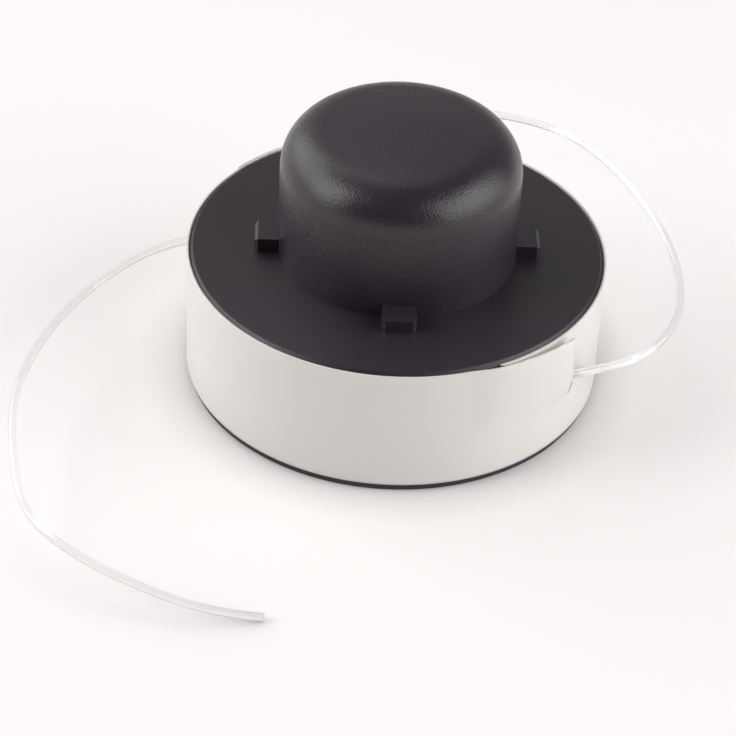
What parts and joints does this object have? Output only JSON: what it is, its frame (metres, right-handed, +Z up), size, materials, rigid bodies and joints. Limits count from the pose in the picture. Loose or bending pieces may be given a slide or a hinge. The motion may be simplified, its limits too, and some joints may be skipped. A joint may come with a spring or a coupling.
{
  "type": "trimmer line spool",
  "caption": "Moulded spool with a tall domed bump knob, wound nylon cutting line, free line tails and a white wrap band that keeps the line on it.",
  "frame": {"origin": "centre of the lower flange's underside, on the spool's axis", "axes": "+Z up the spool's axis through the knob, -Y towards the side the picture is taken from, +X to its right"},
  "size_m": [0.1249, 0.1457, 0.0538],
  "materials": {
    "moulding": "fine-textured moulded black plastic",
    "line": "smooth translucent extruded nylon",
    "band": "smooth white plastic film"
  },
  "bodies": {
    "root": {"spool_body": "moulding", "line_winding": "line", "front_line_tail": "line", "back_line_tail": "line", "wrap_band": "band"}
  },
  "joints": []
}
